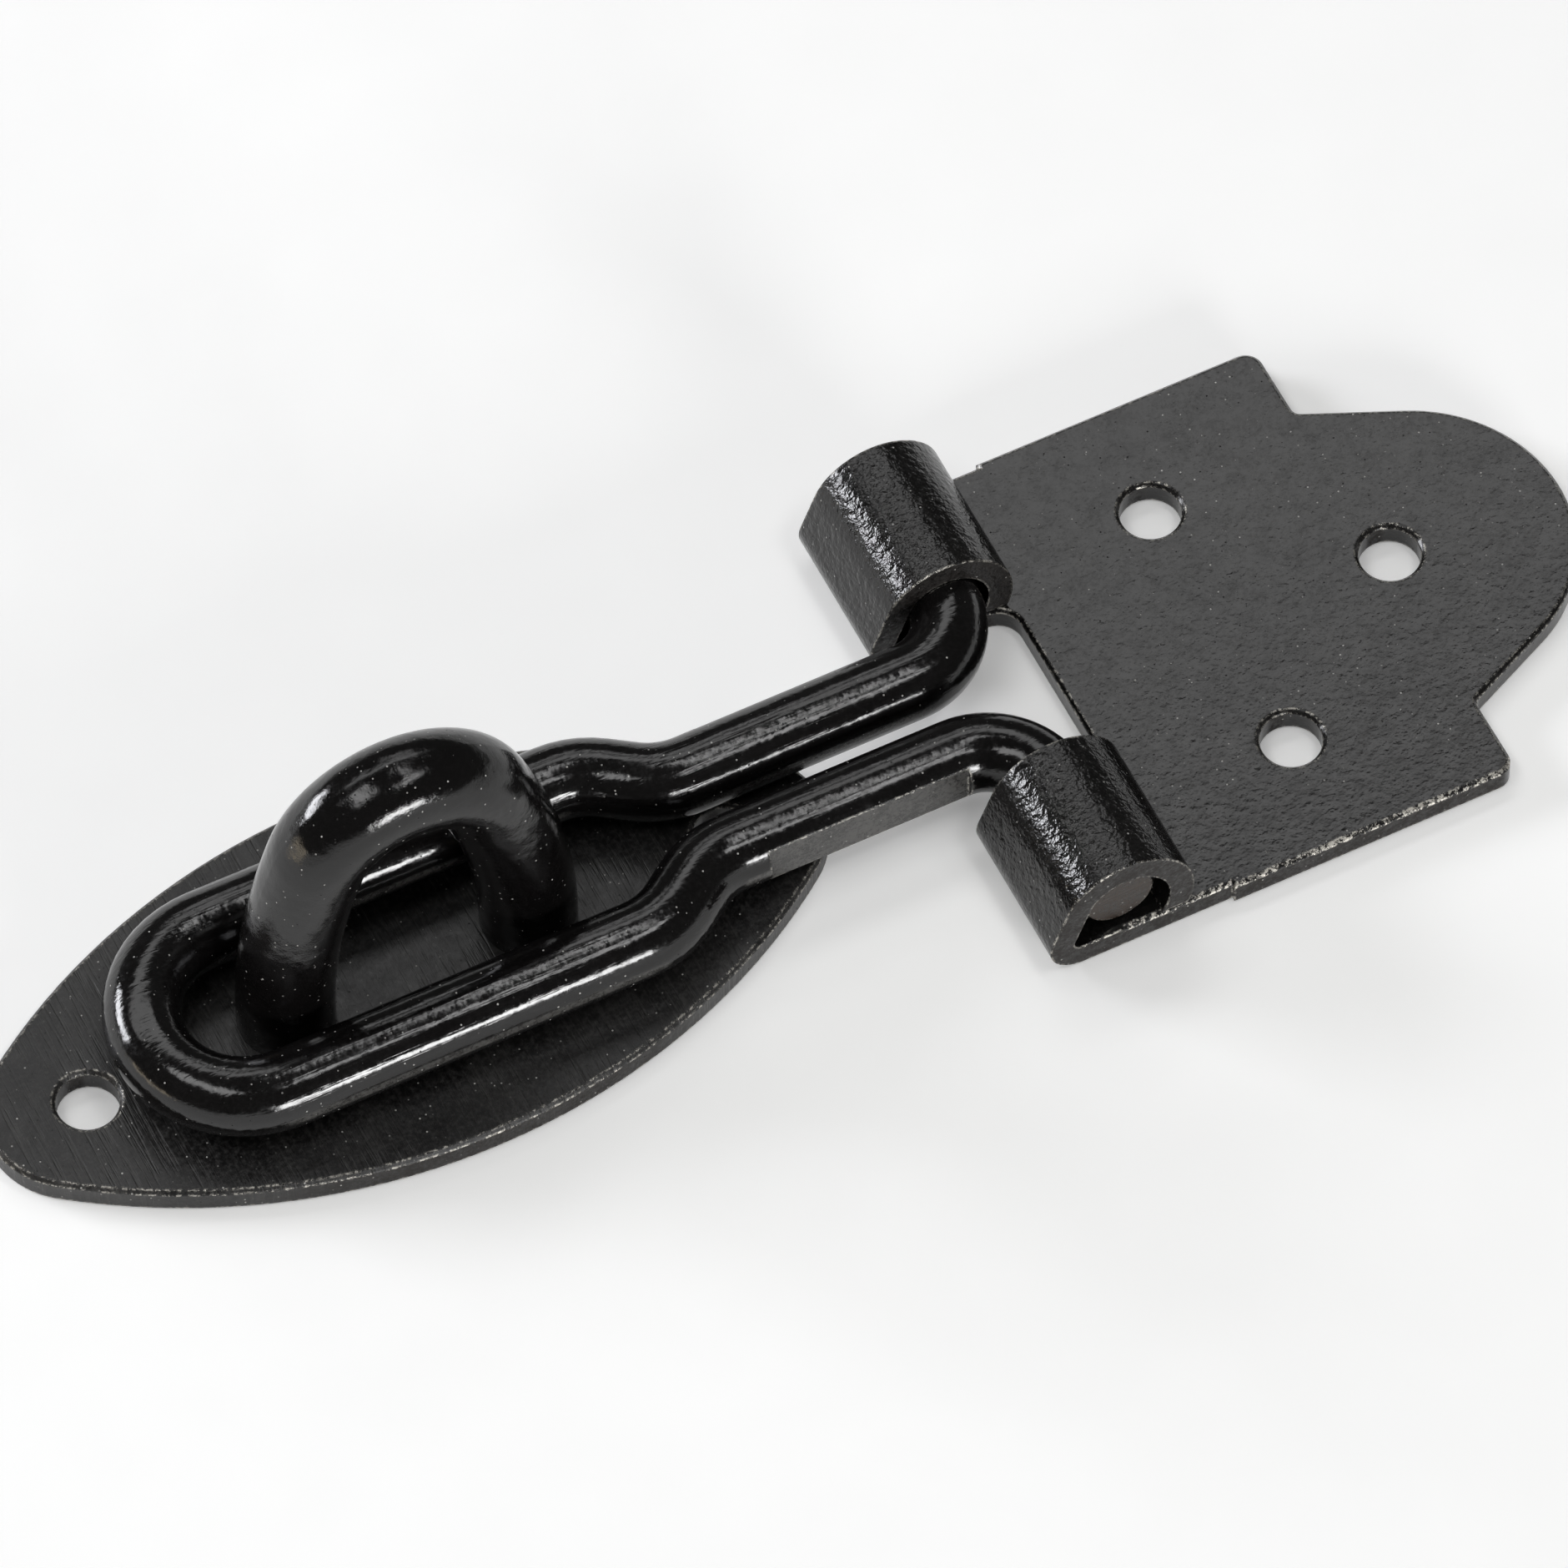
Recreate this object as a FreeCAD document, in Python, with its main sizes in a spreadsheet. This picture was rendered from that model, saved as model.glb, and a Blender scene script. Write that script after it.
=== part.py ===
"""Wire hasp: a hinge plate, the bent wire link that swings in it, and a staple riveted to its own plate.

Millimetres, +Z up. The origin is the middle of the staple plate's underside. The hinge plate lies on the
+X side with its underside at the same height, and the link's hinge axis runs along Y. The hinge plate and
the link are drawn with their hinge axis over the sketches' origin and then moved along +X into place.
"""
import FreeCAD, Part
import Sketcher
import math
import os
from FreeCAD import Vector

# Driving sizes. Each row is one cell of the sheet, with its alias and what it measures.
SIZES = [
    ("sheet", 2.0, "thickness of both plates"),
    ("edge_bevel", 0.3, "bevel along the plates' upper edges"),
    ("bar_dia", 6.0, "round bar of the link"),
    ("screw_hole", 4.8, "screw holes in both plates"),
    ("leaf_width", 43.0, "hinge plate across"),
    ("leaf_front", 5.6, "hinge axis to the front edge"),
    ("leaf_length", 27.4, "front edge to the shoulders"),
    ("shoulder_round", 1.4, "corner radius of the shoulders"),
    ("notch_round", 0.8, "inner corner radius where the tongue starts"),
    ("tongue_round", 12.4, "radius of the tongue's round end"),
    ("tongue_reach", 2.6, "shoulders to the centre of the round end"),
    ("tongue_taper", 24.5, "slope of the tongue's flanks, degrees"),
    ("screw_back", 13.4, "front edge to the two front screw holes"),
    ("screw_spread", 23.2, "between the two front screw holes"),
    ("tongue_screw", 0.5, "shoulders to the screw hole in the tongue"),
    ("tab_step", 0.35, "each tab's side lies this far inside the leaf's side"),
    ("tab_length", 3.5, "front edge to the step in the leaf's side"),
    ("knuckle_gap", 17.6, "clear width between the two knuckles"),
    ("root_round", 2.0, "corner radius at the tab roots"),
    ("pin_play", 0.08, "radial clearance of the pin in its bearing arc"),
    ("bar_lift", 0.4, "height of the link's underside over the sheet"),
    ("front_lean", 20.0, "backward lean of the knuckle's front, degrees"),
    ("roll_corner", 0.8, "inside radius of the knuckle's front bottom corner"),
    ("back_round", 4.2, "inside radius of the knuckle's back"),
    ("back_start", 70.0, "where the bearing arc turns into the back, degrees"),
    ("tip_gap", 0.15, "height of the rolled tip over the tab"),
    ("pin_recess", 0.8, "pin ends lie this far inside the knuckle ends"),
    ("pin_bevel", 0.3, "bevel round each pin's end"),
    ("elbow_round", 5.5, "centre-line radius of the bend into each pin"),
    ("neck_gap", 1.7, "clear gap between the legs near the hinge"),
    ("neck_length", 23.9, "hinge axis to the start of the joggle"),
    ("joggle_round", 7.0, "centre-line radius of the joggle's bends"),
    ("joggle_angle", 35.0, "slope of the joggle, degrees"),
    ("loop_gap", 9.4, "clear gap between the legs round the staple"),
    ("loop_centre", 62.4, "hinge axis to the centre of the loop's round end"),
    ("press_flat", 0.65, "depth of the pressed flat on each leg's outer side"),
    ("flat_margin", 1.7, "joggle to the pressed flat's end"),
    ("base_length", 68.5, "staple plate from tip to tip"),
    ("base_width", 32.2, "staple plate across the middle"),
    ("base_tip", 7.0, "tip radius of the staple plate"),
    ("base_screws", 52.6, "between the staple plate's screw holes"),
    ("hinge_reach", 49.2, "staple's middle to the hinge axis"),
    ("staple_dia", 7.5, "round bar of the staple"),
    ("staple_span", 20.0, "between the centres of the staple's feet"),
    ("staple_height", 24.0, "plate to the bar's centre line at the crown"),
    ("crown_round", 7.2, "centre-line radius of the crown"),
    ("foot_straight", 1.0, "straight length of each leg over the plate"),
    ("tenon_dia", 6.0, "riveted tenon under each foot"),
    ("rivet_flare", 1.0, "depth and spread of the rivet's sunk head"),
    ("rivet_play", 0.05, "gap between the tenon and its hole"),
]
VALUE = {alias: value for alias, value, note in SIZES}

doc = FreeCAD.newDocument("hasp")
sheet = doc.addObject("Spreadsheet::Sheet", "sizes")
for row, (alias, value, note) in enumerate(SIZES, start=1):
    sheet.set(f"A{row}", note)
    sheet.set(f"B{row}", str(value))
    sheet.setAlias(f"B{row}", alias)
doc.recompute()

# Height of the hinge axis and of the link's centre line over z = 0, used by three of the pieces.
AXIS_HEIGHT = "sizes.sheet + sizes.bar_lift + sizes.bar_dia / 2"
AXIS_Z = VALUE["sheet"] + VALUE["bar_lift"] + VALUE["bar_dia"] / 2


# Helpers: bodies, sketches on the origin planes, and the kinds of geometry that the sketches hold.
def new_body(label):
    """Return an empty body with the given label."""
    body = doc.addObject("PartDesign::Body", label)
    body.Label = label
    return body


def origin_plane(body, role):
    """Return the body's own origin plane of that role, such as XY_Plane."""
    return next(item for item in body.Origin.OriginFeatures if item.Role == role)


def new_sketch(body, name, role, lift=None):
    """Return an empty sketch on one of the body's origin planes, lifted along its normal by an expression."""
    sketch = body.newObject("Sketcher::SketchObject", name)
    sketch.AttachmentSupport = [(origin_plane(body, role), "")]
    sketch.MapMode = "FlatFace"
    if lift:
        sketch.setExpression("AttachmentOffset.Base.z", lift)
    return sketch


def line(sketch, start, end):
    """Add a line between two points and return its number."""
    return sketch.addGeometry(Part.LineSegment(Vector(*start, 0), Vector(*end, 0)), False)


def arc(sketch, centre, radius, start, end):
    """Add an arc that runs anticlockwise between two angles in degrees and return its number."""
    circle = Part.Circle(Vector(*centre, 0), Vector(0, 0, 1), radius)
    return sketch.addGeometry(Part.ArcOfCircle(circle, math.radians(start), math.radians(end)), False)


def circle(sketch, centre, radius):
    """Add a circle and return its number."""
    return sketch.addGeometry(Part.Circle(Vector(*centre, 0), Vector(0, 0, 1), radius), False)


def rule(sketch, kind, *items):
    """Add a constraint without a size."""
    sketch.addConstraint(Sketcher.Constraint(kind, *items))


def size(sketch, kind, *items, by):
    """Add a constraint whose size is the expression given as by."""
    number = sketch.addConstraint(Sketcher.Constraint(kind, *items))
    sketch.setExpression(f"Constraints[{number}]", by)


START, END, CENTRE = range(1, 4)
X_AXIS, Y_AXIS = range(-1, -3, -1)
ORIGIN = (X_AXIS, START)


def place(sketch, item, across, along, by_across=None, by_along=None):
    """Fix a point of the sketch at a place from the origin, each way by an expression or on the axis."""
    ways = (("DistanceX", Y_AXIS, across, by_across), ("DistanceY", X_AXIS, along, by_along))
    for kind, axis, value, by in ways:
        if by is None:
            rule(sketch, "PointOnObject", *item, axis)
        else:
            size(sketch, kind, *ORIGIN, *item, value, by=by)


def pad(body, sketch, name, length):
    """Pad a sketch along its normal by an expression."""
    feature = body.newObject("PartDesign::Pad", name)
    feature.Profile = sketch
    feature.setExpression("Length", length)
    return feature


def cut(body, sketch, name):
    """Cut a sketch right through the body, both ways."""
    feature = body.newObject("PartDesign::Pocket", name)
    feature.Profile = sketch
    feature.Type = "ThroughAll"
    feature.SideType = "Symmetric"
    return feature


def mirror(body, originals, name, role):
    """Mirror features about one of the body's origin planes."""
    feature = body.newObject("PartDesign::Mirrored", name)
    feature.Originals = originals
    feature.MirrorPlane = (origin_plane(body, role), [""])
    body.Tip = feature
    return feature


def bevel_top(body, base, name, wanted):
    """Bevel those edges of the plate's top face that the test wants."""
    doc.recompute()
    top = VALUE["sheet"]
    names = []
    for number, edge in enumerate(base.Shape.Edges, start=1):
        level = abs(edge.BoundBox.ZMin - top) < 1e-3 and abs(edge.BoundBox.ZMax - top) < 1e-3
        if level and wanted(edge.CenterOfMass):
            names.append(f"Edge{number}")
    feature = body.newObject("PartDesign::Chamfer", name)
    feature.Base = (base, names)
    feature.setExpression("Size", "sizes.edge_bevel")


def sweep(body, profile, path, name):
    """Sweep a profile along every edge of a path sketch."""
    doc.recompute()
    feature = body.newObject("PartDesign::AdditivePipe", name)
    feature.Profile = profile
    feature.Spine = (path, [f"Edge{n + 1}" for n in range(len(path.Shape.Edges))])
    return feature


# Hinge plate: the flat leaf with its tongue, and two tabs rolled up and back into knuckles.
TAB_SIDE = "sizes.leaf_width / 2 - sizes.tab_step"
BORE = "sizes.bar_dia / 2 + sizes.pin_play"


def leaf_half(body):
    """Sketch the far half of the flat leaf: tongue, shoulder, side, tab up to the axis, and front edge."""
    v = VALUE
    sketch = new_sketch(body, "leaf_half", "XY_Plane")
    taper = math.radians(v["tongue_taper"])
    front = v["leaf_front"]
    back = front + v["leaf_length"]
    start = front + v["tab_length"]
    side = v["leaf_width"] / 2
    tab = side - v["tab_step"]
    gap = v["knuckle_gap"] / 2
    root = v["root_round"]
    corner = v["shoulder_round"]
    notch = v["notch_round"]
    tip = v["tongue_round"]
    tip_x = back + v["tongue_reach"]
    notch_y = (tip + notch - (back + notch - tip_x) * math.sin(taper)) / math.cos(taper)
    flank = (back + notch - notch * math.sin(taper), notch_y - notch * math.cos(taper))
    touch = (tip_x + tip * math.sin(taper), tip * math.cos(taper))
    axis = line(sketch, (front, 0), (tip_x + tip, 0))
    end = arc(sketch, (tip_x, 0), tip, 0, 90 - v["tongue_taper"])
    slope = line(sketch, touch, flank)
    inner = arc(sketch, (back + notch, notch_y), notch, 180, 270 - v["tongue_taper"])
    shoulder = line(sketch, (back, notch_y), (back, side - corner))
    outer = arc(sketch, (back - corner, side - corner), corner, 0, 90)
    long = line(sketch, (back - corner, side), (start, side))
    step = line(sketch, (start, side), (start, tab))
    tab_out = line(sketch, (start, tab), (0, tab))
    tab_end = line(sketch, (0, tab), (0, gap))
    tab_in = line(sketch, (0, gap), (front - root, gap))
    root_arc = arc(sketch, (front - root, gap - root), root, 0, 90)
    edge = line(sketch, (front, gap - root), (front, 0))
    rule(sketch, "Coincident", axis, END, end, START)
    rule(sketch, "Tangent", end, END, slope, START)
    rule(sketch, "Tangent", slope, END, inner, END)
    rule(sketch, "Tangent", inner, START, shoulder, START)
    rule(sketch, "Tangent", shoulder, END, outer, START)
    rule(sketch, "Tangent", outer, END, long, START)
    rule(sketch, "Coincident", long, END, step, START)
    rule(sketch, "Coincident", step, END, tab_out, START)
    rule(sketch, "Coincident", tab_out, END, tab_end, START)
    rule(sketch, "Coincident", tab_end, END, tab_in, START)
    rule(sketch, "Tangent", tab_in, END, root_arc, END)
    rule(sketch, "Tangent", root_arc, START, edge, START)
    rule(sketch, "Coincident", edge, END, axis, START)
    rule(sketch, "PointOnObject", axis, START, X_AXIS)
    rule(sketch, "PointOnObject", end, CENTRE, X_AXIS)
    rule(sketch, "PointOnObject", tab_end, START, Y_AXIS)
    for level in (axis, long, tab_out, tab_in):
        rule(sketch, "Horizontal", level)
    for upright in (shoulder, step, tab_end, edge):
        rule(sketch, "Vertical", upright)
    size(sketch, "Radius", end, tip, by="sizes.tongue_round")
    size(sketch, "Radius", inner, notch, by="sizes.notch_round")
    size(sketch, "Radius", outer, corner, by="sizes.shoulder_round")
    size(sketch, "Radius", root_arc, root, by="sizes.root_round")
    size(sketch, "Angle", slope, math.pi - taper, by="(180 - sizes.tongue_taper) * 1 deg")
    size(sketch, "DistanceX", *ORIGIN, axis, START, front, by="sizes.leaf_front")
    size(sketch, "DistanceX", axis, START, shoulder, END, v["leaf_length"], by="sizes.leaf_length")
    size(sketch, "DistanceX", shoulder, END, end, CENTRE, v["tongue_reach"], by="sizes.tongue_reach")
    size(sketch, "DistanceX", axis, START, step, START, v["tab_length"], by="sizes.tab_length")
    size(sketch, "DistanceY", *ORIGIN, long, END, side, by="sizes.leaf_width / 2")
    size(sketch, "DistanceY", *ORIGIN, tab_end, START, tab, by=TAB_SIDE)
    size(sketch, "DistanceY", *ORIGIN, tab_end, END, gap, by="sizes.knuckle_gap / 2")
    return sketch


def roll_section(body):
    """Sketch the far tab's roll, from under the axis forward, up over the pin and back down to its tip."""
    v = VALUE
    sketch = new_sketch(body, "roll_section", "XZ_Plane", lift=f"-({TAB_SIDE})")
    thick = v["sheet"]
    lean = math.radians(v["front_lean"])
    turn = math.radians(v["back_start"])
    bore = v["bar_dia"] / 2 + v["pin_play"]
    corner = v["roll_corner"]
    corner_z = thick + corner
    corner_x = -((bore - corner) + math.sin(lean) * (AXIS_Z - corner_z)) / math.cos(lean)
    out = (-math.cos(lean), math.sin(lean))
    back_r = v["back_round"]
    back_x = (bore - back_r) * math.cos(turn)
    back_z = AXIS_Z + (bore - back_r) * math.sin(turn)
    tip_z = thick + v["tip_gap"]

    def side(reach):
        """Add the corner, the leaning front, the bearing arc and the back at one distance from the inside."""
        drop = math.asin((tip_z - back_z) / (back_r + reach))
        low = (corner_x + (corner + reach) * out[0], corner_z + (corner + reach) * out[1])
        high = ((bore + reach) * out[0], AXIS_Z + (bore + reach) * out[1])
        bend = arc(sketch, (corner_x, corner_z), corner + reach, 180 - v["front_lean"], 270)
        front = line(sketch, low, high)
        bearing = arc(sketch, (0, AXIS_Z), bore + reach, v["back_start"], 180 - v["front_lean"])
        rear = arc(sketch, (back_x, back_z), back_r + reach, math.degrees(drop), v["back_start"])
        rule(sketch, "Tangent", bend, START, front, START)
        rule(sketch, "Tangent", front, END, bearing, END)
        rule(sketch, "Tangent", bearing, START, rear, END)
        tip = (back_x + (back_r + reach) * math.cos(drop), tip_z)
        return bend, front, bearing, rear, tip

    inner = side(0)
    outer = side(thick)
    top = line(sketch, (0, thick), (corner_x, thick))
    base = line(sketch, (corner_x, 0), (0, 0))
    close = line(sketch, (0, 0), (0, thick))
    tip = line(sketch, inner[4], outer[4])
    rule(sketch, "Tangent", top, END, inner[0], END)
    rule(sketch, "Tangent", base, START, outer[0], END)
    rule(sketch, "Coincident", base, END, close, START)
    rule(sketch, "Coincident", close, END, top, START)
    rule(sketch, "Coincident", tip, START, inner[3], START)
    rule(sketch, "Coincident", tip, END, outer[3], START)
    for level in (top, base, tip):
        rule(sketch, "Horizontal", level)
    rule(sketch, "Vertical", close)
    for part in (0, 2, 3):
        rule(sketch, "Coincident", inner[part], CENTRE, outer[part], CENTRE)
    rule(sketch, "Coincident", base, END, *ORIGIN)
    size(sketch, "DistanceY", *ORIGIN, close, END, thick, by="sizes.sheet")
    place(sketch, (inner[2], CENTRE), 0, AXIS_Z, by_along=AXIS_HEIGHT)
    size(sketch, "Radius", inner[2], bore, by=BORE)
    size(sketch, "Radius", outer[2], bore + thick, by=f"{BORE} + sizes.sheet")
    size(sketch, "Radius", inner[0], corner, by="sizes.roll_corner")
    size(sketch, "Radius", inner[3], back_r, by="sizes.back_round")
    size(sketch, "Angle", inner[1], math.pi / 2 - lean, by="(90 - sizes.front_lean) * 1 deg")
    size(sketch, "DistanceY", *ORIGIN, inner[3], START, tip_z, by="sizes.sheet + sizes.tip_gap")
    size(sketch, "DistanceX", *ORIGIN, inner[3], CENTRE, back_x,
         by=f"({BORE} - sizes.back_round) * cos(sizes.back_start * 1 deg)")
    return sketch


def leaf_screws(body):
    """Sketch the leaf's three screw holes: two abreast and one in the tongue."""
    v = VALUE
    sketch = new_sketch(body, "leaf_screws", "XY_Plane")
    front_x = v["leaf_front"] + v["screw_back"]
    rear_x = v["leaf_front"] + v["leaf_length"] + v["tongue_screw"]
    holes = [circle(sketch, (front_x, sign * v["screw_spread"] / 2), v["screw_hole"] / 2) for sign in (1, -1)]
    holes.append(circle(sketch, (rear_x, 0), v["screw_hole"] / 2))
    rule(sketch, "Symmetric", holes[0], CENTRE, holes[1], CENTRE, X_AXIS)
    size(sketch, "DistanceY", holes[1], CENTRE, holes[0], CENTRE, v["screw_spread"], by="sizes.screw_spread")
    size(sketch, "DistanceX", *ORIGIN, holes[0], CENTRE, front_x, by="sizes.leaf_front + sizes.screw_back")
    place(sketch, (holes[2], CENTRE), rear_x, 0,
          by_across="sizes.leaf_front + sizes.leaf_length + sizes.tongue_screw")
    for hole in holes:
        size(sketch, "Diameter", hole, v["screw_hole"], by="sizes.screw_hole")
    return sketch


def hinge_plate():
    """Build the flat leaf from two halves, pierce it, bevel its upper edges and roll its two tabs."""
    body = new_body("hinge_plate")
    half = pad(body, leaf_half(body), "half_leaf", "sizes.sheet")
    mirror(body, [half], "flat_leaf", "XZ_Plane")
    pierced = cut(body, leaf_screws(body), "screw_cut")
    bevel_top(body, pierced, "leaf_edges", lambda middle: middle.x > VALUE["edge_bevel"])
    roll = pad(body, roll_section(body), "far_roll", f"{TAB_SIDE} - sizes.knuckle_gap / 2")
    mirror(body, [roll], "near_roll", "XZ_Plane")
    body.setExpression("Placement.Base.x", "sizes.hinge_reach")
    return body


# Wire link: one round bar, pins at its two ends, a narrow neck, a joggle and a round loop.
def link_path(body):
    """Sketch the far half of the bar's centre line, from the pin's end to the far end of the loop."""
    v = VALUE
    sketch = new_sketch(body, "link_path", "XY_Plane")
    neck = (v["neck_gap"] + v["bar_dia"]) / 2
    loop = (v["loop_gap"] + v["bar_dia"]) / 2
    elbow = v["elbow_round"]
    bend = v["joggle_round"]
    slope = math.radians(v["joggle_angle"])
    pin_end = v["leaf_width"] / 2 - v["tab_step"] - v["pin_recess"]
    straight = (loop - neck - 2 * bend * (1 - math.cos(slope))) / math.sin(slope)
    first = -v["neck_length"]
    second = first - 2 * bend * math.sin(slope) - straight * math.cos(slope)
    centre = -v["loop_centre"]
    near = (first - bend * math.sin(slope), neck + bend * (1 - math.cos(slope)))
    far = (second + bend * math.sin(slope), loop - bend * (1 - math.cos(slope)))
    pin = line(sketch, (0, pin_end), (0, neck + elbow))
    turn = arc(sketch, (-elbow, neck + elbow), elbow, -90, 0)
    leg = line(sketch, (-elbow, neck), (first, neck))
    out = arc(sketch, (first, neck + bend), bend, 270 - v["joggle_angle"], 270)
    ramp = line(sketch, near, far)
    back = arc(sketch, (second, loop - bend), bend, 90 - v["joggle_angle"], 90)
    side = line(sketch, (second, loop), (centre, loop))
    end = arc(sketch, (centre, 0), loop, 90, 180)
    rule(sketch, "Tangent", pin, END, turn, END)
    rule(sketch, "Tangent", turn, START, leg, START)
    rule(sketch, "Tangent", leg, END, out, END)
    rule(sketch, "Tangent", out, START, ramp, START)
    rule(sketch, "Tangent", ramp, END, back, START)
    rule(sketch, "Tangent", back, END, side, START)
    rule(sketch, "Tangent", side, END, end, START)
    rule(sketch, "Vertical", pin)
    rule(sketch, "Horizontal", leg)
    rule(sketch, "Horizontal", side)
    rule(sketch, "Equal", out, back)
    rule(sketch, "PointOnObject", end, CENTRE, X_AXIS)
    rule(sketch, "PointOnObject", end, END, X_AXIS)
    rule(sketch, "PointOnObject", pin, START, Y_AXIS)
    size(sketch, "DistanceY", *ORIGIN, pin, START, pin_end,
         by="sizes.leaf_width / 2 - sizes.tab_step - sizes.pin_recess")
    size(sketch, "Radius", turn, elbow, by="sizes.elbow_round")
    size(sketch, "Radius", out, bend, by="sizes.joggle_round")
    size(sketch, "Radius", end, loop, by="(sizes.loop_gap + sizes.bar_dia) / 2")
    size(sketch, "DistanceY", *ORIGIN, leg, END, neck, by="(sizes.neck_gap + sizes.bar_dia) / 2")
    size(sketch, "DistanceX", *ORIGIN, leg, END, first, by="-sizes.neck_length")
    size(sketch, "DistanceX", *ORIGIN, end, CENTRE, centre, by="-sizes.loop_centre")
    size(sketch, "Angle", ramp, math.pi - slope, by="(180 - sizes.joggle_angle) * 1 deg")
    return sketch


def press_flats(body):
    """Sketch what the press takes off the outer side of each leg, between the elbow and the joggle."""
    v = VALUE
    sketch = new_sketch(body, "press_flats", "XY_Plane")
    inside = v["neck_gap"] / 2 + v["bar_dia"] - v["press_flat"]
    outside = v["neck_gap"] / 2 + 1.5 * v["bar_dia"]
    right = -v["elbow_round"]
    left = -v["neck_length"] + v["flat_margin"]
    for sign in (1, -1):
        low = line(sketch, (left, sign * inside), (right, sign * inside))
        post = line(sketch, (right, sign * inside), (right, sign * outside))
        high = line(sketch, (right, sign * outside), (left, sign * outside))
        shut = line(sketch, (left, sign * outside), (left, sign * inside))
        rule(sketch, "Coincident", low, END, post, START)
        rule(sketch, "Coincident", post, END, high, START)
        rule(sketch, "Coincident", high, END, shut, START)
        rule(sketch, "Coincident", shut, END, low, START)
        rule(sketch, "Horizontal", low)
        rule(sketch, "Horizontal", high)
        rule(sketch, "Vertical", post)
        rule(sketch, "Vertical", shut)
        minus = "" if sign > 0 else "-"
        size(sketch, "DistanceX", *ORIGIN, low, START, left, by="sizes.flat_margin - sizes.neck_length")
        size(sketch, "DistanceX", *ORIGIN, low, END, right, by="-sizes.elbow_round")
        size(sketch, "DistanceY", *ORIGIN, low, START, sign * inside,
             by=f"{minus}(sizes.neck_gap / 2 + sizes.bar_dia - sizes.press_flat)")
        size(sketch, "DistanceY", *ORIGIN, high, START, sign * outside,
             by=f"{minus}(sizes.neck_gap / 2 + 1.5 * sizes.bar_dia)")
    return sketch


def bevel_pins(body, base):
    """Bevel the rim of each pin's cut end."""
    doc.recompute()
    rims = []
    for number, edge in enumerate(base.Shape.Edges, start=1):
        if edge.BoundBox.YLength < 1e-3 and abs(edge.CenterOfMass.y) > VALUE["knuckle_gap"] / 2:
            rims.append(f"Edge{number}")
    bevel = body.newObject("PartDesign::Chamfer", "pin_bevels")
    bevel.Base = (base, rims)
    bevel.setExpression("Size", "sizes.pin_bevel")


def wire_link():
    """Sweep the bar along its centre line, mirror it and press the flats."""
    body = new_body("wire_link")
    path = link_path(body)
    pin_end = "sizes.leaf_width / 2 - sizes.tab_step - sizes.pin_recess"
    section = new_sketch(body, "link_section", "XZ_Plane", lift=f"-({pin_end})")
    ring = circle(section, (0, 0), VALUE["bar_dia"] / 2)
    rule(section, "Coincident", ring, CENTRE, *ORIGIN)
    size(section, "Diameter", ring, VALUE["bar_dia"], by="sizes.bar_dia")
    half = sweep(body, section, path, "half_bar")
    mirror(body, [half], "bar", "XZ_Plane")
    flats = cut(body, press_flats(body), "flats_cut")
    bevel_pins(body, flats)
    body.setExpression("Placement.Base.x", "sizes.hinge_reach")
    body.setExpression("Placement.Base.z", AXIS_HEIGHT)
    return body


# Staple plate: a pointed oval with rounded tips, a screw hole near each tip and a hole for each tenon.
def oval(body):
    """Sketch the pointed oval as two long arcs and two tip arcs, all tangent."""
    v = VALUE
    sketch = new_sketch(body, "oval", "XY_Plane")
    reach = v["base_length"] / 2 - v["base_tip"]
    half = v["base_width"] / 2
    tip = v["base_tip"]
    radius = (reach ** 2 + half ** 2 - tip ** 2) / (2 * (half - tip))
    spread = math.degrees(math.atan2(reach, radius - half))
    far = arc(sketch, (0, half - radius), radius, 90 - spread, 90 + spread)
    left = arc(sketch, (-reach, 0), tip, 90 + spread, 270 - spread)
    near = arc(sketch, (0, radius - half), radius, 270 - spread, 270 + spread)
    right = arc(sketch, (reach, 0), tip, spread - 90, 90 - spread)
    rule(sketch, "Tangent", far, END, left, START)
    rule(sketch, "Tangent", left, END, near, START)
    rule(sketch, "Tangent", near, END, right, START)
    rule(sketch, "Tangent", right, END, far, START)
    crown = sketch.addGeometry(Part.Point(Vector(0, half, 0)), True)
    rule(sketch, "PointOnObject", crown, START, far)
    place(sketch, (crown, START), 0, half, by_along="sizes.base_width / 2")
    rule(sketch, "PointOnObject", left, CENTRE, X_AXIS)
    rule(sketch, "PointOnObject", right, CENTRE, X_AXIS)
    rule(sketch, "Equal", left, right)
    rule(sketch, "Equal", far, near)
    size(sketch, "Radius", right, tip, by="sizes.base_tip")
    size(sketch, "DistanceX", *ORIGIN, right, CENTRE, reach, by="sizes.base_length / 2 - sizes.base_tip")
    size(sketch, "DistanceX", *ORIGIN, left, CENTRE, -reach, by="sizes.base_tip - sizes.base_length / 2")
    return sketch


def pair(body, name, spread, across, by_spread, by_across):
    """Sketch two equal circles on the X axis, evenly about the middle."""
    sketch = new_sketch(body, name, "XY_Plane")
    right = circle(sketch, (spread / 2, 0), across / 2)
    left = circle(sketch, (-spread / 2, 0), across / 2)
    rule(sketch, "Equal", right, left)
    place(sketch, (right, CENTRE), spread / 2, 0, by_across=f"({by_spread}) / 2")
    place(sketch, (left, CENTRE), -spread / 2, 0, by_across=f"-({by_spread}) / 2")
    size(sketch, "Diameter", right, across, by=by_across)
    return sketch


def rivet_cone(body, kind, name, side, extra):
    """Add or take away the sunk cone of a riveted head, at the underside below one foot."""
    cone = body.newObject(kind, name)
    cone.AttachmentSupport = [(origin_plane(body, "XY_Plane"), "")]
    cone.MapMode = "FlatFace"
    cone.setExpression("AttachmentOffset.Base.x", f"{side}sizes.staple_span / 2")
    cone.setExpression("Radius1", f"sizes.tenon_dia / 2 + sizes.rivet_flare + {extra}")
    cone.setExpression("Radius2", f"sizes.tenon_dia / 2 + {extra}")
    cone.setExpression("Height", "sizes.rivet_flare")


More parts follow.
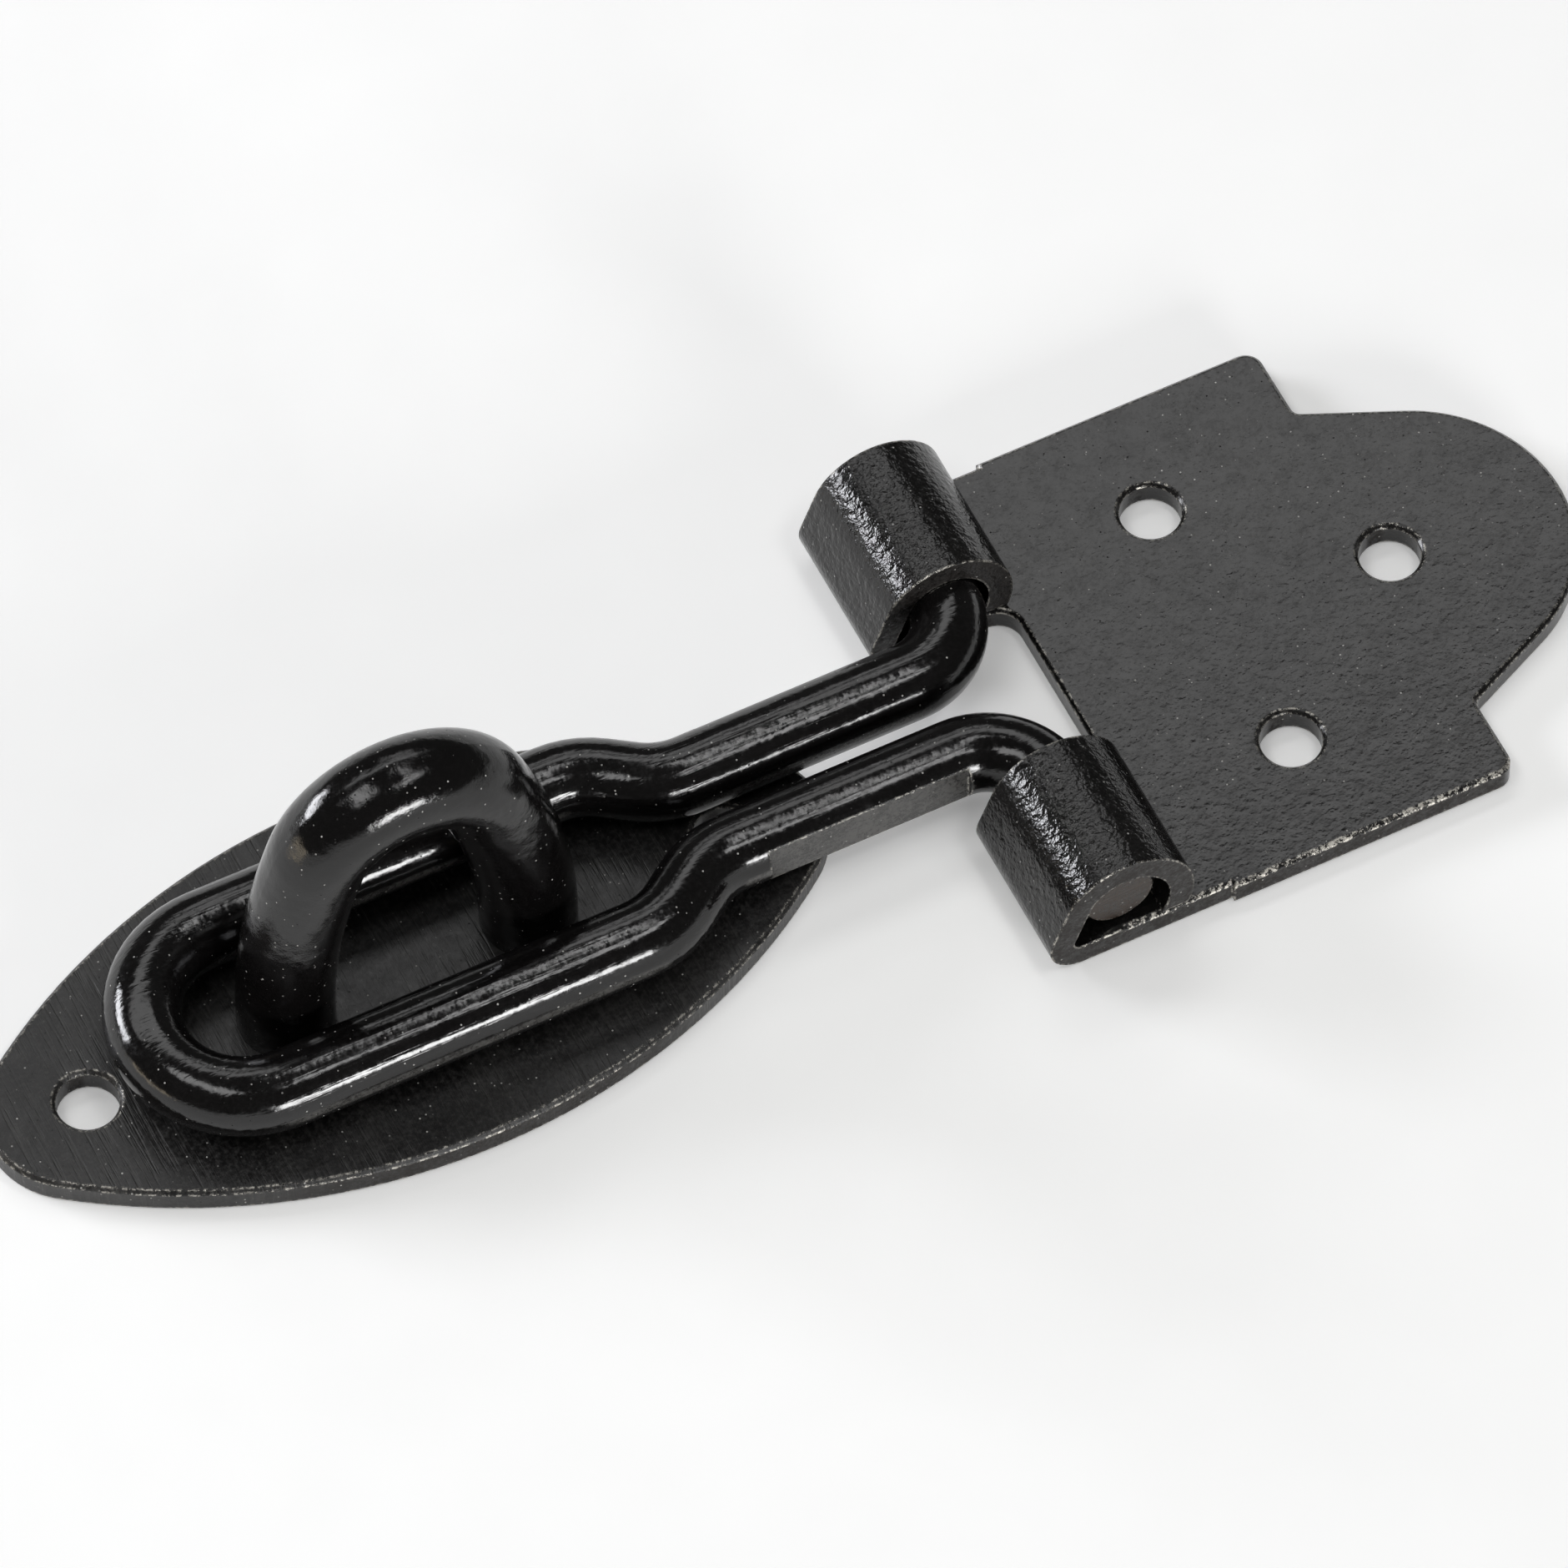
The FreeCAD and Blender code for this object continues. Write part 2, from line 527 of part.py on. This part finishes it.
def staple_plate():
    """Build the oval plate with its two screw holes and the two sunk holes for the rivets."""
    v = VALUE
    body = new_body("staple_plate")
    pad(body, oval(body), "oval_pad", "sizes.sheet")
    screws = pair(body, "base_screws", v["base_screws"], v["screw_hole"], "sizes.base_screws",
                  "sizes.screw_hole")
    pierced = cut(body, screws, "screw_cut")
    bevel_top(body, pierced, "base_edges", lambda middle: True)
    tenons = pair(body, "tenon_holes", v["staple_span"], v["tenon_dia"] + 2 * v["rivet_play"],
                  "sizes.staple_span", "sizes.tenon_dia + 2 * sizes.rivet_play")
    cut(body, tenons, "tenon_cut")
    rivet_cone(body, "PartDesign::SubtractiveCone", "right_sink", "", "sizes.rivet_play")
    rivet_cone(body, "PartDesign::SubtractiveCone", "left_sink", "-", "sizes.rivet_play")
    return body


# Staple: a round bar bent into an arch that stands on the plate, with a riveted tenon under each foot.
def arch_path(body):
    """Sketch half of the arch's centre line: a short straight foot, a long side arc and the crown."""
    v = VALUE
    sketch = new_sketch(body, "arch_path", "XZ_Plane")
    half = v["staple_span"] / 2
    crown = v["crown_round"]
    low = v["sheet"] + v["foot_straight"]
    crown_z = v["sheet"] + v["staple_height"] - crown
    rise = crown_z - low
    side = (half ** 2 + rise ** 2 - crown ** 2) / (2 * (half - crown))
    turn = math.degrees(math.atan2(rise, side - half))
    foot = line(sketch, (half, v["sheet"]), (half, low))
    long = arc(sketch, (half - side, low), side, 0, turn)
    top = arc(sketch, (0, crown_z), crown, turn, 90)
    rule(sketch, "Tangent", foot, END, long, START)
    rule(sketch, "Tangent", long, END, top, START)
    rule(sketch, "Vertical", foot)
    rule(sketch, "PointOnObject", top, CENTRE, Y_AXIS)
    rule(sketch, "PointOnObject", top, END, Y_AXIS)
    size(sketch, "DistanceX", *ORIGIN, foot, START, half, by="sizes.staple_span / 2")
    size(sketch, "DistanceY", *ORIGIN, foot, START, v["sheet"], by="sizes.sheet")
    size(sketch, "DistanceY", foot, START, foot, END, v["foot_straight"], by="sizes.foot_straight")
    size(sketch, "Radius", top, crown, by="sizes.crown_round")
    size(sketch, "DistanceY", *ORIGIN, top, END, v["sheet"] + v["staple_height"],
         by="sizes.sheet + sizes.staple_height")
    return sketch


def staple():
    """Sweep half of the arch, mirror it, and add the tenons with their riveted heads."""
    v = VALUE
    body = new_body("staple")
    path = arch_path(body)
    section = new_sketch(body, "arch_section", "XY_Plane", lift="sizes.sheet")
    ring = circle(section, (v["staple_span"] / 2, 0), v["staple_dia"] / 2)
    place(section, (ring, CENTRE), v["staple_span"] / 2, 0, by_across="sizes.staple_span / 2")
    size(section, "Diameter", ring, v["staple_dia"], by="sizes.staple_dia")
    half = sweep(body, section, path, "half_arch")
    mirror(body, [half], "arch", "YZ_Plane")
    tenons = pair(body, "tenons", v["staple_span"], v["tenon_dia"], "sizes.staple_span", "sizes.tenon_dia")
    pad(body, tenons, "tenon_pad", "sizes.sheet")
    rivet_cone(body, "PartDesign::AdditiveCone", "right_head", "", "0")
    rivet_cone(body, "PartDesign::AdditiveCone", "left_head", "-", "0")
    return body


# Build every piece, check the document and write one STEP file for each piece.
pieces = [hinge_plate(), wire_link(), staple_plate(), staple()]
doc.recompute()
for item in doc.Objects:
    if {"Invalid", "Error"} & set(item.State):
        raise RuntimeError(f"{item.Name} did not build: {item.State}")
for piece in pieces:
    if piece.Shape.isNull() or not piece.Shape.isValid():
        raise RuntimeError(f"{piece.Label} has no valid shape")
os.makedirs("parts", exist_ok=True)
for piece in pieces:
    piece.Shape.exportStep(os.path.join("parts", f"{piece.Label}.step"))
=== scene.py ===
"""Wire hasp with its staple: the enamel on each steel piece, the floor, the studio light and the camera."""
import math

import bpy
from mathutils import Matrix, Vector

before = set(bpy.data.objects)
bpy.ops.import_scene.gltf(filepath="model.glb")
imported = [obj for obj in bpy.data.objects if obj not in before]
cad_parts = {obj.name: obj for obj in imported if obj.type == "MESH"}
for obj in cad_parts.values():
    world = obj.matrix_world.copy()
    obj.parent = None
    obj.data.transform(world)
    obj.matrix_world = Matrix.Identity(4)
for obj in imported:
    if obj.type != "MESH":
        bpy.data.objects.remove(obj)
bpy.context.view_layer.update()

# Staple plate: a pointed oval blanked from 2 mm steel sheet and ground crosswise. It was dipped in black enamel,
# a thin film that lets the grinding lines show and has chipped to bare steel along the bevelled rim.
ENAMEL_BLACK = "#0A0909"
SHEARED_BROWN = "#15100C"
# Pale steel colour: real chips on the rims, and a painted highlight along the hinge plate's near edge.
BARE_STEEL_AND_GLINT = "#C6C2B9"
DUST_GREY = "#B8B7B3"
ENAMEL_IOR = 1.5
BARE_ROUGHNESS = 0.36
DUST_ROUGHNESS = 0.9
CLOUD_MM = 7.0
BLOTCH_MM = 1.8
SPECK_MM = 0.35
FLAKE_MM = 0.5
DUST_SPACING_MM = 0.62
RIM_MM = 0.28
SHEET_TOP_MM = 2.05
# Where the hinge plate's near-edge band starts: partly real wear, partly a painted highlight.
NEAR_GLINT_FROM_MM = -16.0
NEAR_EDGE_MM = -21.5
PIN_ENDS_FROM_MM = 15.0
GRINDING_MM = 0.3


def linear(code):
    """Turn an sRGB hex colour into linear red, green, blue and alpha."""
    parts = [int(code[i:i + 2], 16) / 255 for i in (1, 3, 5)]
    return [c / 12.92 if c <= 0.04045 else ((c + 0.055) / 1.055) ** 2.4 for c in parts] + [1.0]


def node(tree, kind, inputs, **settings):
    """Add a shader node, set its options, and give each named input a value or another node's output."""
    made = tree.nodes.new("ShaderNode" + kind)
    for option, value in settings.items():
        setattr(made, option, value)
    for name, value in inputs.items():
        if isinstance(value, bpy.types.NodeSocket):
            tree.links.new(value, made.inputs[name])
        else:
            made.inputs[name].default_value = value
    return made


def black_enamel(name, thin, peel_mm, peel_height, gloss, dull, chipped, dusty, lines=None, flanks=None):
    """Make one piece's black enamel over steel.

    thin is the colour where the film is thin, peel_mm and peel_height the orange peel's grain and depth, gloss and
    dull the least and most roughness, chipped and dusty how far the rims have chipped and the dust has settled.
    lines gives the periods, the turn and the depth of scored lines, and flanks the colours of the faces that look
    sideways, within 15 mm of the middle and beyond, how rough they are, and how squarely they look sideways.
    """
    material = bpy.data.materials.new(name)
    material.use_nodes = True
    tree = material.node_tree
    tree.nodes.clear()
    place = tree.nodes.new("ShaderNodeTexCoord")
    mm = node(tree, "VectorMath", {0: place.outputs["Object"], "Scale": 1000}, operation="SCALE").outputs[0]
    where = node(tree, "SeparateXYZ", {0: mm})
    facing = node(tree, "SeparateXYZ", {0: place.outputs["Normal"]})

    # The film is thicker here and thinner there over some millimetres, and speckled over fractions of one.
    cloud = node(tree, "TexNoise", {"Vector": mm, "Scale": 1 / CLOUD_MM, "Detail": 4.0}).outputs[0]
    speck = node(tree, "TexNoise", {"Vector": mm, "Scale": 1 / SPECK_MM, "Detail": 3.0, "Roughness": 0.8}).outputs[0]
    broad = node(tree, "MapRange", {"Value": cloud, "From Min": 0.42, "From Max": 0.72, "To Max": 0.5})
    dots = node(tree, "MapRange", {"Value": speck, "From Min": 0.46, "From Max": 0.74})
    film = node(tree, "Math", {0: broad.outputs[0], 1: dots.outputs[0]}, operation="ADD", use_clamp=True).outputs[0]

    # Orange peel: the dried film's own waves, with a finer grit on them. On the flat sheet, below 3 mm, the film lay
    # level while it dried, so it is smoother there.
    peel = node(tree, "TexNoise", {"Vector": mm, "Scale": 1 / peel_mm, "Detail": 2.0, "Roughness": 0.55})
    bent = node(tree, "MapRange", {"Value": where.outputs[2], "From Min": 1.9, "From Max": 3.0,
                                   "To Min": 0.19 * peel_height, "To Max": peel_height})
    height = node(tree, "Math", {0: speck, 1: 0.15, 2: peel.outputs[0]}, operation="MULTIPLY_ADD")
    height = node(tree, "Math", {0: height.outputs[0], 1: bent.outputs[0]}, operation="MULTIPLY").outputs[0]

    # Scored lines: the sheet's grinding or the bar's drawing marks, which come and go and thin the film.
    if lines:
        periods, turn, depth = lines
        turned = node(tree, "Mapping", {"Vector": mm, "Rotation": (0, 0, math.radians(turn)),
                                        "Scale": [1 / period for period in periods]})
        score = node(tree, "TexNoise", {"Vector": turned.outputs[0], "Scale": 1.0, "Detail": 2.0, "Roughness": 0.6})
        cut = node(tree, "MapRange", {"Value": score.outputs[0], "From Min": 0.48, "From Max": 0.72})
        patch = node(tree, "MapRange", {"Value": cloud, "From Min": 0.34, "From Max": 0.56, "To Min": 0.25})
        cut = node(tree, "Math", {0: cut.outputs[0], 1: patch.outputs[0]}, operation="MULTIPLY").outputs[0]
        height = node(tree, "Math", {0: cut, 1: -depth, 2: height}, operation="MULTIPLY_ADD").outputs[0]
        film = node(tree, "Math", {0: cut, 1: 0.6, 2: film}, operation="MULTIPLY_ADD", use_clamp=True).outputs[0]

    colour = node(tree, "Mix", {0: film, 6: linear(ENAMEL_BLACK), 7: linear(thin)}, data_type="RGBA").outputs[2]
    blotch = node(tree, "TexNoise", {"Vector": mm, "Scale": 1 / BLOTCH_MM, "Detail": 3.0, "Roughness": 0.7}).outputs[0]
    blotch = node(tree, "Math", {0: blotch, 1: 0.7, 2: speck}, operation="MULTIPLY_ADD").outputs[0]
    rough = node(tree, "MapRange", {"Value": blotch, "From Min": 0.65, "From Max": 1.1, "To Min": gloss,
                                    "To Max": dull}).outputs[0]

    # Faces that look sideways: sheared ends, and the places that a press has struck. On the wire link's pressed flats
    # the grey
    #     # put here is partly scuffed enamel and partly a painted reflection of the pale floor.
    if flanks:
        middle_colour, end_colour, flank_rough, squarely = flanks
        side = node(tree, "Math", {0: facing.outputs[1]}, operation="ABSOLUTE")
        side = node(tree, "MapRange", {"Value": side.outputs[0], "From Min": squarely,
                                       "From Max": 0.8 + 0.2 * squarely}).outputs[0]
        away = node(tree, "Math", {0: where.outputs[1]}, operation="ABSOLUTE")
        away = node(tree, "Math", {0: away.outputs[0], 1: PIN_ENDS_FROM_MM}, operation="GREATER_THAN").outputs[0]
        flank_tone_and_sheen = node(tree, "Mix", {0: away, 6: linear(middle_colour), 7: linear(end_colour)}, data_type="RGBA")
        marked = node(tree, "MapRange", {"Value": blotch, "From Min": 0.7, "From Max": 1.0, "To Min": 0.35})
        side = node(tree, "Math", {0: side, 1: marked.outputs[0]}, operation="MULTIPLY").outputs[0]
        colour = node(tree, "Mix", {0: side, 6: colour, 7: flank_tone_and_sheen.outputs[2]}, data_type="RGBA").outputs[2]
        rough = node(tree, "Mix", {0: side, 2: rough, 3: flank_rough}).outputs[0]

    # Rims: handling has broken the film along every sharp edge, in dots and short runs of bare steel.
    flat = tree.nodes.new("ShaderNodeNewGeometry").outputs["Normal"]
    rolled = node(tree, "Bevel", {"Radius": RIM_MM / 1000}, samples=6).outputs[0]
    same = node(tree, "VectorMath", {0: rolled, 1: flat}, operation="DOT_PRODUCT").outputs["Value"]
    rim = node(tree, "MapRange", {"Value": same, "From Min": 0.995, "From Max": 0.955}).outputs[0]

    # Along the hinge plate's near edge, which faces the front window, the whole width of the bevel is given bare
    # steel: partly
    #     # real wear and partly a painted highlight standing in for that window's glint. The limits on y and z keep
    #     the other
    #     # pieces out of it.
    tilt = node(tree, "MapRange", {"Value": facing.outputs[2], "From Min": 0.93, "From Max": 0.8}).outputs[0]
    tilt = node(tree, "Math", {0: tilt, 1: facing.outputs[2]}, operation="MULTIPLY", use_clamp=True).outputs[0]
    near = node(tree, "MapRange", {"Value": where.outputs[1], "From Min": NEAR_GLINT_FROM_MM,
                                   "From Max": NEAR_EDGE_MM}).outputs[0]
    tilt = node(tree, "Math", {0: tilt, 1: near}, operation="MULTIPLY").outputs[0]
    low = node(tree, "Math", {0: where.outputs[2], 1: SHEET_TOP_MM}, operation="LESS_THAN").outputs[0]
    rim = node(tree, "Math", {0: tilt, 1: low, 2: rim}, operation="MULTIPLY_ADD", use_clamp=True).outputs[0]
    flake = node(tree, "TexNoise", {"Vector": mm, "Scale": 1 / FLAKE_MM, "Detail": 4.0, "Roughness": 0.85}).outputs[0]
    flake = node(tree, "MapRange", {"Value": flake, "From Min": 0.62 - chipped, "From Max": 0.68 - chipped})
    # Bare steel where the rims have chipped, plus the painted highlight along the hinge plate's near edge.
    bare_and_glint = node(tree, "Math", {0: rim, 1: flake.outputs[0]}, operation="MULTIPLY").outputs[0]
    colour = node(tree, "Mix", {0: bare_and_glint, 6: colour, 7: linear(BARE_STEEL_AND_GLINT)}, data_type="RGBA").outputs[2]
    rough = node(tree, "Mix", {0: bare_and_glint, 2: rough, 3: BARE_ROUGHNESS}).outputs[0]

    # Dust and pinholes: grains and pits of about 0.05 mm, too fine to show, so they are drawn at about 0.13 mm. The
    # grains are pale, and the pits only dull.
    cells = node(tree, "TexVoronoi", {"Vector": mm, "Scale": 1 / DUST_SPACING_MM})
    grain = node(tree, "MapRange", {"Value": cells.outputs["Distance"], "From Min": 0.14, "From Max": 0.08})
    draw = node(tree, "SeparateColor", {0: cells.outputs["Color"]})
    settled = node(tree, "MapRange", {"Value": draw.outputs[0], "From Min": 1.0 - dusty, "From Max": 1.0})
    dust = node(tree, "Math", {0: grain.outputs[0], 1: settled.outputs[0]}, operation="MULTIPLY").outputs[0]
    pit = node(tree, "MapRange", {"Value": draw.outputs[0], "From Min": 0.22, "From Max": 0.18})
    pit = node(tree, "Math", {0: grain.outputs[0], 1: pit.outputs[0], 2: dust}, operation="MULTIPLY_ADD").outputs[0]
    colour = node(tree, "Mix", {0: dust, 6: colour, 7: linear(DUST_GREY)}, data_type="RGBA").outputs[2]
    rough = node(tree, "Mix", {0: pit, 2: rough, 3: DUST_ROUGHNESS}).outputs[0]

    relief = node(tree, "Bump", {"Strength": 1.0, "Distance": 0.001, "Height": height, "Normal": rolled})
    shader = node(tree, "BsdfPrincipled", {"Base Color": colour, "Metallic": bare_and_glint, "Roughness": rough,
                                           "IOR": ENAMEL_IOR, "Normal": relief.outputs[0]})
    output = tree.nodes.new("ShaderNodeOutputMaterial")
    tree.links.new(shader.outputs[0], output.inputs["Surface"])
    return material


def dress(piece, material):
    """Put a finish on every material slot of a CAD piece."""
    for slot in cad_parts[piece].material_slots:
        slot.material = material


dress("staple_plate", black_enamel("Thin_black_enamel_on_ground_sheet", thin="#2F2E2D", peel_mm=0.6,
                                   peel_height=0.1, gloss=0.3, dull=0.48, chipped=0.12, dusty=0.5,
                                   lines=((GRINDING_MM, 5, 5), -14, 0.035),
                                   flanks=(SHEARED_BROWN, SHEARED_BROWN, 0.75, 0.93)))

# Staple: 7.5 mm round bar bent into an arch and riveted through the plate. The enamel runs thick and smooth on it,
# so it mirrors the windows in clean, slightly wavy patches and shows every grain of dust.
dress("staple", black_enamel("Thick_gloss_enamel_on_bent_bar", thin="#100F0F", peel_mm=2.8, peel_height=0.11,
                             gloss=0.05, dull=0.15, chipped=0.0, dusty=0.6))

# Hinge plate: 2 mm sheet blanked with a round tongue, its two tabs rolled up and back into open knuckles. The enamel
# has a fine, sharp orange peel that breaks a window's reflection into bright flecks on the knuckles.
dress("hinge_plate", black_enamel("Black_enamel_on_rolled_sheet", thin="#1E1D1C", peel_mm=0.55, peel_height=0.11,
                                  gloss=0.08, dull=0.27, chipped=0.12, dusty=0.45,
                                  flanks=(SHEARED_BROWN, SHEARED_BROWN, 0.75, 0.93)))

# Wire link: 6 mm drawn bar, bent hot, its legs pressed flat on the outside. The enamel is glossy, with faint drawing
# # marks along the bar that fray its long streaks of light. The pressed flats get a mottled grey that is partly
# scuffed
# # enamel and partly a painted reflection of the pale floor, and the pin ends are brown.
dress("wire_link", black_enamel("Gloss_enamel_on_drawn_bar", thin="#131212", peel_mm=1.4, peel_height=0.035,
                                gloss=0.06, dull=0.2, chipped=0.12, dusty=0.5, lines=((9, 0.4, 0.4), 0, 0.008),
                                flanks=("#4C4B49", "#2E241C", 0.4, 0.985)))

# Floor: matt white card under the object. It takes the object's soft shadow, and shows nearly white to the camera
# and in the enamel.
CARD_WHITE = "#F9F9F8"
CARD_SIZE = 8
CARD_DROP = 0.0002
CARD_GLOW = 0.22
bpy.ops.mesh.primitive_plane_add(size=CARD_SIZE, location=(0, 0, -CARD_DROP))
floor = bpy.context.object
floor.name = "floor_card"
card = bpy.data.materials.new("Matt_white_card")
card.use_nodes = True
tree = card.node_tree
tree.nodes.clear()
fibre = node(tree, "TexNoise", {"Scale": 900.0, "Detail": 2.0})
shade = node(tree, "Mix", {0: fibre.outputs[0], 6: linear("#F4F4F3"), 7: linear(CARD_WHITE)}, data_type="RGBA")
matt = node(tree, "BsdfDiffuse", {"Color": shade.outputs[2]})
ray = node(tree, "LightPath", {})
seen = node(tree, "Math", {0: ray.outputs["Is Camera Ray"], 1: ray.outputs["Is Glossy Ray"]}, operation="MAXIMUM")
seen = node(tree, "Math", {0: seen.outputs[0], 1: ray.outputs["Is Transmission Ray"]}, operation="MAXIMUM")
lift = node(tree, "Math", {0: seen.outputs[0], 1: CARD_GLOW}, operation="MULTIPLY")
glow = node(tree, "Emission", {"Color": linear("#FFFFFF"), "Strength": lift.outputs[0]})
lit = node(tree, "AddShader", {0: matt.outputs[0], 1: glow.outputs[0]})
output = tree.nodes.new("ShaderNodeOutputMaterial")
tree.links.new(lit.outputs[0], output.inputs["Surface"])
floor.data.materials.append(card)

# Light: softboxes round the object, each with its bearing and height as seen from the object, the width and
# height of its face, how bright that face is, and its colour. 0 degrees is in front, and 90 at the hinge plate's end.
MIDDLE = Vector((0.031, 0, 0.006))
LAMP_DISTANCE = 0.9
SOFTBOXES = [
    # name, bearing, elevation, width, height, brightness, colour
    ("front_window", 4, 12, 0.40, 0.16, 25.0, "#FFFFFF"),
    ("left_window", -135, 19, 0.42, 0.20, 19.0, "#F9FAFF"),
    ("back_soft", 178, 57, 1.00, 0.20, 2.0, "#FFFFFF"),
    ("back_strip", 163, 41, 0.30, 0.09, 2.2, "#FFFFFF"),
    ("top_strip", 105, 77, 0.40, 0.06, 6.0, "#FFFFFF"),
    ("right_strip", 36, 66, 0.36, 0.10, 7.0, "#FFFFFF"),
    ("left_soft", -80, 66, 0.50, 0.22, 4.0, "#FFFFFF"),
    ("low_warm_card", -92, 4, 0.50, 0.10, 2.2, "#FFEBC8"),
]
for name, bearing, elevation, width, tall, brightness, tint in SOFTBOXES:
    a, e = math.radians(bearing), math.radians(elevation)
    way = Vector((math.sin(a) * math.cos(e), -math.cos(a) * math.cos(e), math.sin(e)))
    lamp = bpy.data.lights.new(name, "AREA")
    lamp.shape = "RECTANGLE"
    lamp.size = width
    lamp.size_y = tall
    lamp.energy = brightness * width * tall * math.pi
    lamp.color = linear(tint)[:3]
    box = bpy.data.objects.new(name, lamp)
    box.location = MIDDLE + way * LAMP_DISTANCE
    box.rotation_mode = "QUATERNION"
    box.rotation_quaternion = way.to_track_quat("Z", "Y")
    box.visible_camera = False
    bpy.context.scene.collection.objects.link(box)

# Room: the pale card sweeps up just behind the floor's far edge, and above it the room is dim.
ROOM_GREY = "#4A4A49"
room = bpy.data.worlds.new("Pale_sweep_and_dim_room")
room.use_nodes = True
tree = room.node_tree
tree.nodes.clear()
way = node(tree, "TexCoord", {})
rise = node(tree, "SeparateXYZ", {0: way.outputs["Generated"]})
above = node(tree, "MapRange", {"Value": rise.outputs[2], "From Min": 0.07, "From Max": 0.13})
shade = node(tree, "Mix", {0: above.outputs[0], 6: linear(CARD_WHITE), 7: linear(ROOM_GREY)}, data_type="RGBA")
walls = node(tree, "Background", {"Color": shade.outputs[2], "Strength": 1.0})
output = tree.nodes.new("ShaderNodeOutputWorld")
tree.links.new(walls.outputs[0], output.inputs["Surface"])
bpy.context.scene.world = room

# Camera: a long lens from above the near left corner, at the photograph's own angle and framing.
AZIMUTH, ELEVATION, ROLL = math.radians(-25.5), math.radians(56.9), math.radians(-1.0)
ACROSS, ABOVE, AWAY = 0.028036, 0.014618, 0.996894
FOCAL_MM = 306.4
BACK = Vector((math.sin(AZIMUTH) * math.cos(ELEVATION), -math.cos(AZIMUTH) * math.cos(ELEVATION),
               math.sin(ELEVATION)))
LEVEL = Vector((math.cos(AZIMUTH), math.sin(AZIMUTH), 0))
RIGHT = math.cos(ROLL) * LEVEL + math.sin(ROLL) * BACK.cross(LEVEL)
UP = BACK.cross(RIGHT)
lens = bpy.data.cameras.new("long_lens")
lens.sensor_width = 36
lens.lens = FOCAL_MM
lens.clip_start = 0.05
camera = bpy.data.objects.new("camera", lens)
camera.matrix_world = Matrix((RIGHT, UP, BACK)).transposed().to_4x4()
camera.location = ACROSS * RIGHT + ABOVE * UP + AWAY * BACK
bpy.context.scene.collection.objects.link(camera)
bpy.context.scene.camera = camera
bpy.context.scene.view_settings.view_transform = "Standard"
